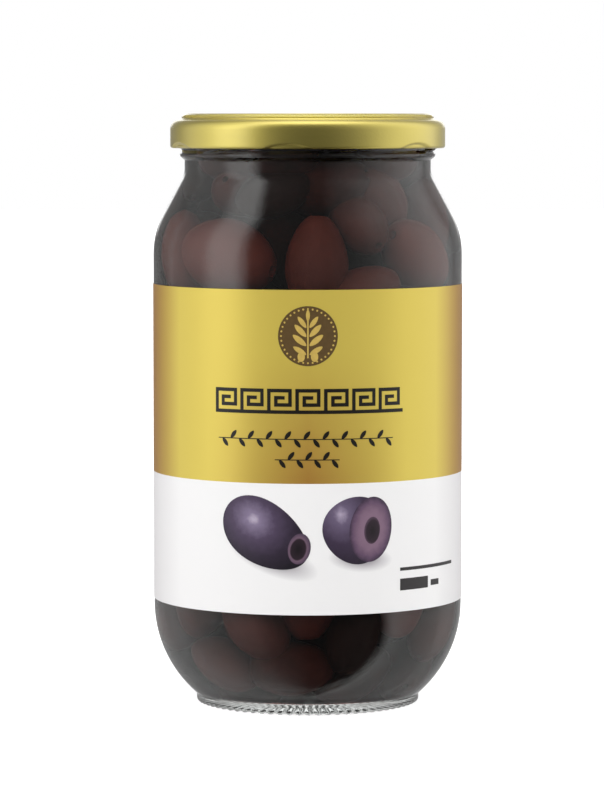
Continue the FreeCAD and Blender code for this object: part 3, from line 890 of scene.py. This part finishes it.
class OLIVEJAR_OT_lid(bpy.types.Operator):
    """Press the twist-off lid: raised ring, sunk panel, rolled edge and lugs"""
    bl_idname = "olive_jar.lid"
    bl_label = "Lid"

    def execute(self, context):
        s = context.scene.lid_sizes
        top, low, skirt = LID_HIGH.z, LID_LOW.z, min(LID_HIGH.x, LID_HIGH.y) - 0.02 * MM
        under = top - s.sheet
        shoulder = top - s.ring_step
        roll = s.curl * 0.98
        tail = skirt - 2 * s.curl
        panel = [
            (s.button_radius, s.button_rise - s.panel_sink, 0.6 * MM),
            (s.button_radius + MM, -s.panel_sink, 0.6 * MM),
        ]
        corners = [(0, top - s.panel_sink + s.button_rise, 0)]
        corners += [(across, top + up, rounding) for across, up, rounding in panel]
        corners += [
            (s.panel_radius - s.sheet - MM, top - s.panel_sink, 0.6 * MM),
            (s.panel_radius - s.sheet, top, 0.6 * MM),
            (s.ring_radius - s.ring_slant, top, s.ring_round),
            (s.ring_radius, shoulder, 0.5 * MM),
            (skirt, shoulder, s.skirt_round),
            (skirt, low + 3.5 * MM, 0),
            (skirt, low, roll),
            (tail, low, roll),
            (tail, low + s.curl + 0.5 * MM, 0),
            (tail + s.sheet, low + s.curl + 0.5 * MM, 0),
            (tail + s.sheet, low + s.sheet, roll - s.sheet),
            (skirt - s.sheet, low + s.sheet, roll - s.sheet),
            (skirt - s.sheet, low + 3.5 * MM, 0),
            (skirt - s.sheet, shoulder - s.sheet, s.skirt_round - s.sheet),
            (s.ring_radius - s.sheet, shoulder - s.sheet, 0),
            (s.ring_radius - s.ring_slant - s.sheet, under, s.ring_round - s.sheet),
            (s.panel_radius, under, 0.6 * MM),
            (s.panel_radius - MM, under - s.panel_sink, 0.6 * MM),
        ]
        corners += [(across, under + up, rounding) for across, up, rounding in panel[::-1]]
        corners += [(0, under - s.panel_sink + s.button_rise, 0)]
        points = divided(rounded(corners, math.radians(9)), 0.3 * MM, low - MM, low + 4 * MM)
        lid = turned("twist_off_lid", points, s.around, smooth=60)
        reshape(lid, press_dents)
        settle(lid, gold_lacquer(), "gold_lacquer", "lid")
        return {"FINISHED"}


# ---------------------------------------------------------------- label

def wrapped(places, radius):
    """Flat places (across, lift, up) laid round the jar, facing the front at zero."""
    turn = places[:, 0] / radius
    out = places.copy()
    out[:, 0] = (radius + places[:, 1]) * np.sin(turn)
    out[:, 1] = -(radius + places[:, 1]) * np.cos(turn)
    return out


class OLIVEJAR_OT_label(bpy.types.Operator):
    """Wrap the label paper round the jar, with a bare strip at the back"""
    bl_idname = "olive_jar.label"
    bl_label = "Label paper"

    def execute(self, context):
        s = context.scene.label_sizes
        girth = 2 * math.pi * LABEL_RADIUS - s.seam
        low, high = LABEL_LOW.z, LABEL_HIGH.z
        deselect()
        bpy.ops.mesh.primitive_cube_add(size=1)
        label = named("label_paper")
        reshape(label, lambda p: p * [girth, PAPER_THICKNESS, high - low]
                + [0, -PAPER_THICKNESS / 2, (low + high) / 2])
        edit(label)
        cut_across(girth * (i / s.around - 0.5) for i in range(1, s.around))
        close_edit()
        reshape(label, lambda p: wrapped(p, LABEL_RADIUS))
        face_outwards(label)
        bpy.ops.object.shade_smooth_by_angle(angle=math.radians(30))
        settle(label, label_stock(), "label_paper", "label")
        return {"FINISHED"}


def flat_shape(outline, layer):
    """A printed patch: a flat outline (across, up) in millimetres, cut into narrow strips, given
    the ink's thickness and laid round the label."""
    s = bpy.context.scene.label_sizes
    deselect()
    bpy.ops.mesh.primitive_circle_add(vertices=len(outline), radius=1, fill_type="NGON")
    patch = bpy.context.active_object
    flat = np.array([(across * MM, 0, up * MM) for across, up in outline])
    reshape(patch, lambda places: flat)
    return lay_on_label(patch, s.ink * layer)


def lay_on_label(patch, lift):
    """Cuts a flat patch into narrow strips, thickens it to a film and wraps it round the label."""
    s = bpy.context.scene.label_sizes
    across = [v.co.x for v in patch.data.vertices]
    pitch = 1.2 * MM
    edit(patch)
    strips = range(math.floor(min(across) / pitch) + 1, math.ceil(max(across) / pitch))
    cut_across(i * pitch for i in strips)
    bpy.ops.mesh.select_all(action="SELECT")
    bpy.ops.mesh.remove_doubles(threshold=0.001 * MM)
    bpy.ops.mesh.extrude_region_move(TRANSFORM_OT_translate={"value": (0, s.ink, 0)})
    close_edit()
    patch.data.uv_layers.new(name="flat")
    corners = np.array([patch.data.vertices[loop.vertex_index].co.xzy[:2]
                        for loop in patch.data.loops])
    patch.data.uv_layers["flat"].data.foreach_set("uv", (corners / MM).ravel())
    reshape(patch, lambda places: wrapped(places + [0, lift, 0], LABEL_RADIUS))
    face_outwards(patch)
    return patch


def joined(name, patches):
    """One piece of several patches."""
    deselect()
    for patch in patches:
        patch.select_set(True)
    bpy.context.view_layer.objects.active = patches[0]
    bpy.ops.object.join()
    return named(name)


def leaf(across, up, size, lean, slim=0.34):
    """Outline of a pointed leaf that starts at a place and leans from upright to the right."""
    turn = math.radians(lean)
    points = []
    for k in range(16):
        t = 2 * math.pi * k / 16
        along = size * (1 - math.cos(t)) / 2
        side = size * slim / 2 * math.sin(t) * (0.55 + 0.45 * abs(math.sin(t)))
        points.append((across + along * math.sin(turn) + side * math.cos(turn),
                       up + along * math.cos(turn) - side * math.sin(turn)))
    return points


def oval(across, up, wide, high, lean=0.0, points=40, blunt=0.0):
    """Outline of an oval with its long side across, turned anticlockwise by the lean."""
    turn = math.radians(lean)
    out = []
    for k in range(points):
        t = 2 * math.pi * k / points
        x = wide / 2 * math.cos(t)
        y = high / 2 * math.sin(t) * (1 + blunt * math.cos(t))
        out.append((across + x * math.cos(turn) - y * math.sin(turn),
                    up + x * math.sin(turn) + y * math.cos(turn)))
    return out


def bar(left, right, middle, high):
    """Outline of a straight bar."""
    return [(left, middle - high / 2), (right, middle - high / 2),
            (right, middle + high / 2), (left, middle + high / 2)]


# One turn of a Greek key, the oldest of border ornaments, on a grid as fine as its line.
KEY_ROWS = ("#######.",
            "#.....#.",
            "#.###.#.",
            "#.#...#.",
            "#.#####.",
            "#.......",
            "########")


class OLIVEJAR_OT_meander(bpy.types.Operator):
    """Print the Greek key border on the foil"""
    bl_idname = "olive_jar.meander"
    bl_label = "Key border"

    def execute(self, context):
        s = context.scene.label_sizes
        cell = s.meander_unit / len(KEY_ROWS[0])
        squares = []
        for row, marks in enumerate(KEY_ROWS):
            for column, mark in enumerate(marks):
                if mark == "#":
                    deselect()
                    bpy.ops.mesh.primitive_plane_add(size=cell, rotation=(math.pi / 2, 0, 0))
                    square = context.active_object
                    square.location = (column * cell, 0, -row * cell)
                    bpy.ops.object.transform_apply()
                    squares.append(square)
        key = joined("key_border", squares)
        turns = key.modifiers.new("turns", "ARRAY")
        turns.count = s.meander_turns
        turns.use_relative_offset, turns.use_constant_offset = False, True
        turns.constant_offset_displace = (s.meander_unit, 0, 0)
        bpy.ops.object.modifier_apply(modifier="turns")
        wide = s.meander_turns * s.meander_unit
        middle = [-(wide - 2 * cell) / 2, 0,
                  s.meander_height + cell * (len(KEY_ROWS) - 1) / 2]
        reshape(key, lambda places: places + middle)
        edit(key)
        bpy.ops.mesh.remove_doubles(threshold=0.01 * MM)
        close_edit()
        lay_on_label(key, 2 * s.ink)
        settle(key, printing_ink("black ink on foil", context.scene.jar_colours.ink), "label_paper")
        return {"FINISHED"}


class OLIVEJAR_OT_ornament(bpy.types.Operator):
    """Print the medallion with its olive sprig, and the two leaf garlands, on the foil"""
    bl_idname = "olive_jar.ornament"
    bl_label = "Medallion and garlands"

    def execute(self, context):
        s = context.scene.label_sizes
        colours = context.scene.jar_colours
        middle, rim = s.medallion_height / MM, s.medallion_radius / MM
        disc = flat_shape(oval(0, middle, 2 * rim, 2 * rim, points=72), 2)
        disc.name = disc.data.name = "medallion"
        settle(disc, printing_ink("bronze ink on foil", colours.bronze, 0.4), "label_paper")

        sprig = [flat_shape(bar(-0.22, 0.22, middle - 0.4, 12.4), 4)]
        for side in (-1, 1):
            for step, size in enumerate((4.6, 5.2, 5.0, 4.2)):
                sprig.append(flat_shape(leaf(side * 0.5, middle - 5.6 + 2.7 * step, size,
                                             side * (58 - 7 * step)), 4))
            sprig.append(flat_shape(oval(side * 2.0, middle - 6.2, 2.2, 3.0), 4))
        sprig.append(flat_shape(leaf(0, middle + 4.4, 3.6, 0), 4))
        for k in range(36):
            t = 2 * math.pi * k / 36
            sprig.append(flat_shape(oval((rim - 0.9) * math.cos(t), middle + (rim - 0.9)
                                         * math.sin(t), 0.6, 0.6, points=8), 4))
        sprig = joined("olive_sprig", sprig)
        settle(sprig, printing_ink("pale gold ink", linear("#c4a650"), 0.4), "label_paper")

        garlands = []
        for row, left, right in ((85.8, -27.5, 27.0), (79.6, -9.0, 9.6)):
            steps = round((right - left) / 2.8)
            for k in range(steps):
                at = left + (right - left) * (k + 0.5) / steps
                lean = 38 if k % 2 else 142
                garlands.append(flat_shape(leaf(at - 1.0, row, 3.1, lean, 0.42), 2))
            garlands.append(flat_shape(bar(left - 1, right, row, 0.28), 3))
        garlands = joined("leaf_garlands", garlands)
        settle(garlands, printing_ink("brown-black ink on foil", colours.ink), "label_paper")
        return {"FINISHED"}


def shaded_print(name, stops, towards, span, grain=0.0):
    """Halftone picture ink: colours that follow one another across the picture, from a place
    (across, up) along a direction, in millimetres on the flat label, broken by a fine mottle."""
    material, tree = new_material(name)
    flat = add_node(tree, "UVMap", uv_map="flat")
    (x, y), turn = towards
    shifted = add_node(tree, "Mapping", {"Vector": flat, "Location": (x, y, 0), "Rotation": (0, 0,
        math.radians(turn)), "Scale": (span[0], span[1], 1)}, vector_type="TEXTURE")
    spot = add_node(tree, "VectorMath", {0: shifted}, operation="LENGTH")
    mottle = add_node(tree, "TexNoise", {"Vector": flat, "Scale": 0.55, "Detail": 4.0})
    broken = add_node(tree, "Math", {0: mottle, 1: grain, 2: -grain / 2}, operation="MULTIPLY_ADD")
    place = add_node(tree, "Math", {0: spot.outputs["Value"], 1: broken})
    ramp = add_node(tree, "ValToRGB", {0: place}, stops=[(at, linear(shade)) for at,
        shade in stops])
    ink = add_node(tree, "BsdfPrincipled", {"Base Color": ramp, "Roughness": 0.5})
    add_node(tree, "OutputMaterial", {"Surface": ink})
    return material


class OLIVEJAR_OT_picture(bpy.types.Operator):
    """Print a pitted olive, a cut olive and plain bars on the white field"""
    bl_idname = "olive_jar.picture"
    bl_label = "Olive picture"

    def execute(self, context):
        colours = context.scene.jar_colours
        white = "#eeeded"
        parts = (
            ("shadow_whole", oval(-11.0, 49.9, 30, 10.5, -20), 1, shaded_print(
                "soft grey picture ink", ((0, "#77727a"), (0.4, "#a5a1a6"), (1, white)),
                ((-11.0, 49.9), -20), (15, 5.25))),
            ("shadow_cut", oval(16.5, 49.4, 21, 8.0, -4), 1, shaded_print(
                "soft grey picture ink, cut olive", ((0, "#77727a"), (0.4, "#aaa6ab"), (1, white)),
                ((16.5, 49.4), -4), (10.5, 4.0))),
            ("olive_whole", oval(-13.2, 57.0, 29.5, 19.0, -31, 64, -0.14), 3, shaded_print(
                "purple olive picture ink", ((0, "#b5a9bd"), (0.12, "#7d6f8b"), (0.38, "#4a3b55"),
                                             (0.7, "#2b1f33"), (1, "#17111d")),
                ((-16.8, 61.6), -31), (19, 15), 0.16)),
            ("olive_lip", oval(-2.6, 52.8, 6.8, 9.4, -12, 40), 5, shaded_print(
                "olive lip picture ink", ((0, "#150d14"), (0.66, "#2a1a26"), (0.76, "#6b5265"),
                                          (1, "#4f3d52")), ((-2.9, 52.6), -12), (3.4, 4.7), 0.06)),
            ("cut_olive_back", oval(14.6, 58.3, 20.6, 20.4, -12, 64, 0.10), 3, shaded_print(
                "cut olive skin picture ink", ((0, "#a89bb2"), (0.15, "#655773"),
                                               (0.5, "#3a2b44"), (1, "#1d1523")),
                ((10.0, 63.0), 20), (16, 18), 0.14)),
            ("cut_olive_face", oval(19.6, 58.3, 13.8, 19.8, -8, 64), 5, shaded_print(
                "cut olive flesh picture ink", ((0, "#8b6f83"), (0.6, "#7b5f75"),
                                                (0.85, "#5f4660"), (1, "#3b2a41")),
                ((19.6, 58.3), -8), (6.9, 9.9), 0.22)),
            ("cut_olive_hole", oval(19.9, 58.0, 5.2, 8.2, -6, 40), 7, shaded_print(
                "olive hollow picture ink", ((0, "#1a1018"), (0.8, "#2c1c29"), (1, "#4f3a4c")),
                ((20.1, 57.8), -6), (2.6, 4.1), 0.08)),
        )
        for name, outline, layer, material in parts:
            patch = flat_shape(outline, layer)
            patch.name = patch.data.name = name
            settle(patch, material, "label_paper")
        bars = [flat_shape(bar(29.8, 56.0, 45.6, 1.0), 2), flat_shape(bar(29.8, 41.6, 40.9, 3.6), 2),
                flat_shape(bar(43.0, 47.2, 40.5, 1.8), 2)]
        bars = joined("plain_bars", bars)
        settle(bars, printing_ink("dark grey ink", colours.grey), "label_paper")
        return {"FINISHED"}


# ---------------------------------------------------------------- stage

def seen_straight(tree, onward):
    """1 for what the camera sees directly or only through clear things, and 0 once light has been
    scattered, or mirrored back by the glass. Onward is how far the light still runs to the back:
    what the inside of the glass mirrors that way still counts."""
    path = add_node(tree, "LightPath")
    direct = add_node(tree, "Math", {0: path.outputs["Is Camera Ray"],
        1: path.outputs["Is Transmission Ray"]}, operation="MAXIMUM")
    kept = add_node(tree, "Math", {0: onward, 1: 0.55}, operation="LESS_THAN")
    mirrored = add_node(tree, "Math", {0: path.outputs["Glossy Depth"], 1: kept},
        operation="MULTIPLY")
    turned_back = add_node(tree, "Math", {0: mirrored, 1: path.outputs["Diffuse Depth"]})
    clear = add_node(tree, "Math", {0: turned_back, 1: 0.5}, operation="LESS_THAN")
    return add_node(tree, "Math", {0: direct, 1: clear}, operation="MULTIPLY")


def studio_light(scene):
    """Soft boxes left and right and a dim front, seen by glass and metal alike, and a white
    background for the camera and for what is seen through the glass."""
    world = scene.world or bpy.data.worlds.new("studio")
    scene.world = world
    world.use_nodes = True
    tree = world.node_tree
    tree.nodes.clear()
    towards = add_node(tree, "TexCoord").outputs["Generated"]
    split = add_node(tree, "SeparateXYZ", {0: towards})
    back = add_node(tree, "Math", {0: split.outputs["Y"], 1: -1.0}, operation="MULTIPLY")
    turn = add_node(tree, "Math", {0: split.outputs["X"], 1: back}, operation="ARCTAN2")
    share = add_node(tree, "Math", {0: turn, 1: 0.5 / math.pi, 2: 0.5}, operation="MULTIPLY_ADD")

    def stops(*pairs):
        return [((degrees + 180) / 360, (level, level, level, 1)) for degrees, level in pairs]

    upper = add_node(tree, "ValToRGB", {0: share}, stops=stops(
        (-176, 0.8), (-165, 0.25), (-130, 0.25), (-120, 0.65), (-88, 0.85), (-76, 1.9), (-57, 2.0),
        (-43, 0.16), (15, 0.12), (46, 0.42), (66, 0.8), (100, 1.25), (125, 1.2), (140, 0.4),
        (165, 0.4), (176, 0.8)))
    lower = add_node(tree, "ValToRGB", {0: share}, stops=stops(
        (-176, 0.8), (-165, 0.4), (-130, 0.6), (-118, 0.9), (-85, 0.75), (-30, 0.2), (0, 0.06),
        (58, 0.06), (68, 1.2), (85, 0.8), (120, 0.7), (140, 0.4), (165, 0.5), (176, 0.8)))
    high = add_node(tree, "MapRange", {"Value": split.outputs["Z"], "From Min": -0.12,
        "From Max": -0.09})
    sides = add_node(tree, "Mix", {0: high, 6: lower, 7: upper}, data_type="RGBA")
    above = add_node(tree, "MapRange", {"Value": split.outputs["Z"], "From Min": 0.02,
        "From Max": 0.05})
    behind = add_node(tree, "MapRange", {"Value": split.outputs["Y"], "From Min": 0.93,
        "From Max": 0.985})
    backdrop = add_node(tree, "Math", {0: above, 1: behind}, operation="MULTIPLY")
    overhead = add_node(tree, "MapRange", {"Value": split.outputs["Z"], "From Min": 0.88,
        "From Max": 0.95})
    panel = add_node(tree, "Math", {0: backdrop, 1: overhead}, operation="MAXIMUM")
    tent = add_node(tree, "Mix", {0: panel, 6: sides.outputs[2], 7: (2.0, 2.0, 2.0, 1)},
        data_type="RGBA")
    mixed = add_node(tree, "Mix", {0: seen_straight(tree, split.outputs["Y"]), 6: tent.outputs[2],
        7: (1, 1, 1, 1)}, data_type="RGBA")
    light = add_node(tree, "Background", {"Color": mixed.outputs[2], "Strength": 1.0})
    add_node(tree, "OutputWorld", {"Surface": light})


def fill_lamp(name, place, aim, width, height, power):
    """A large soft lamp that lights matt surfaces and leaves no mark in the glass or metal."""
    light = bpy.data.lights.new(name, "AREA")
    light.shape, light.size, light.size_y, light.energy = "RECTANGLE", width, height, power
    lamp = bpy.data.objects.new(name, light)
    bpy.context.scene.collection.objects.link(lamp)
    lamp.location = place
    lamp.rotation_euler = (Vector(aim) - Vector(place)).to_track_quat("-Z", "Y").to_euler()
    lamp.visible_glossy = False
    lamp.visible_camera = False
    lamp.visible_transmission = False
    return lamp


class OLIVEJAR_OT_stage(bpy.types.Operator):
    """Set the floor, the light and the camera"""
    bl_idname = "olive_jar.stage"
    bl_label = "Stage"

    def execute(self, context):
        scene = context.scene
        scene.view_settings.view_transform = "Standard"
        scene.cycles.max_bounces = scene.cycles.transmission_bounces = 24
        scene.cycles.glossy_bounces = 12
        studio_light(scene)
        deselect()
        bpy.ops.mesh.primitive_plane_add(size=12)
        floor = named("studio_floor")
        floor.visible_glossy = False
        material, tree = new_material("white studio board")
        board = add_node(tree, "BsdfPrincipled", {"Base Color": linear("#f4f4f4"), "Roughness": 0.9,
            "Specular IOR Level": 0.0})
        glow = add_node(tree, "Emission", {"Strength": 0.75})
        lit = add_node(tree, "AddShader", {0: board, 1: glow})
        path = add_node(tree, "LightPath")
        away = add_node(tree, "BsdfTransparent")
        unlit = add_node(tree, "MixShader", {0: path.outputs["Is Transmission Ray"], 1: board,
            2: away})
        shown = add_node(tree, "MixShader", {0: seen_straight(tree, 0.0), 1: unlit, 2: lit})
        add_node(tree, "OutputMaterial", {"Surface": shown})
        give(floor, material)

        middle = (0, 0, 0.09)
        fill_lamp("front_fill", (0.3, -1.6, 0.9), middle, 1.6, 1.2, 7.6)
        fill_lamp("left_fill", (-1.3, -0.7, 0.7), middle, 1.0, 1.2, 4.6)
        fill_lamp("right_fill", (1.3, -0.6, 0.7), middle, 1.0, 1.2, 3.5)

        camera_data = bpy.data.cameras.new("camera")
        camera_data.lens, camera_data.sensor_width = 166.65, 36
        camera = bpy.data.objects.new("camera", camera_data)
        scene.collection.objects.link(camera)
        camera.location = (-1.77 * MM, -1.166, 0.183)
        camera.rotation_euler = (math.radians(90 - 4.434), 0, 0)
        scene.camera = camera
        return {"FINISHED"}


class OLIVEJAR_PT_panel(bpy.types.Panel):
    """Lists the jar's pieces and sizes"""
    bl_label = "Olive Jar"
    bl_idname = "OLIVEJAR_PT_panel"
    bl_space_type = "VIEW_3D"
    bl_region_type = "UI"
    bl_category = "Olive Jar"

    def draw(self, context):
        for operator in OPERATORS:
            self.layout.operator(operator.bl_idname)
        for group in GROUPS:
            box = self.layout.box()
            box.label(text=group)
            for name in GROUPS[group].__annotations__:
                box.prop(getattr(context.scene, group), name)


OPERATORS = (OLIVEJAR_OT_glass, OLIVEJAR_OT_brine, OLIVEJAR_OT_olives, OLIVEJAR_OT_lid,
             OLIVEJAR_OT_label, OLIVEJAR_OT_meander, OLIVEJAR_OT_ornament, OLIVEJAR_OT_picture,
             OLIVEJAR_OT_stage)
GROUPS = {"jar_sizes": JarSizes, "lid_sizes": LidSizes, "content_sizes": ContentSizes,
          "label_sizes": LabelSizes, "jar_colours": JarColours}


def register():
    for group in GROUPS.values():
        bpy.utils.register_class(group)
    for name, group in GROUPS.items():
        setattr(bpy.types.Scene, name, bpy.props.PointerProperty(type=group))
    for operator in OPERATORS:
        bpy.utils.register_class(operator)
    bpy.utils.register_class(OLIVEJAR_PT_panel)


def unregister():
    bpy.utils.unregister_class(OLIVEJAR_PT_panel)
    for operator in reversed(OPERATORS):
        bpy.utils.unregister_class(operator)
    for name, group in GROUPS.items():
        delattr(bpy.types.Scene, name)
        bpy.utils.unregister_class(group)


def main():
    register()
    bpy.ops.olive_jar.glass()
    bpy.ops.olive_jar.brine()
    bpy.ops.olive_jar.olives()
    bpy.ops.olive_jar.lid()
    bpy.ops.olive_jar.label()
    bpy.ops.olive_jar.meander()
    bpy.ops.olive_jar.ornament()
    bpy.ops.olive_jar.picture()
    bpy.ops.olive_jar.stage()


if __name__ == "__main__":
    main()
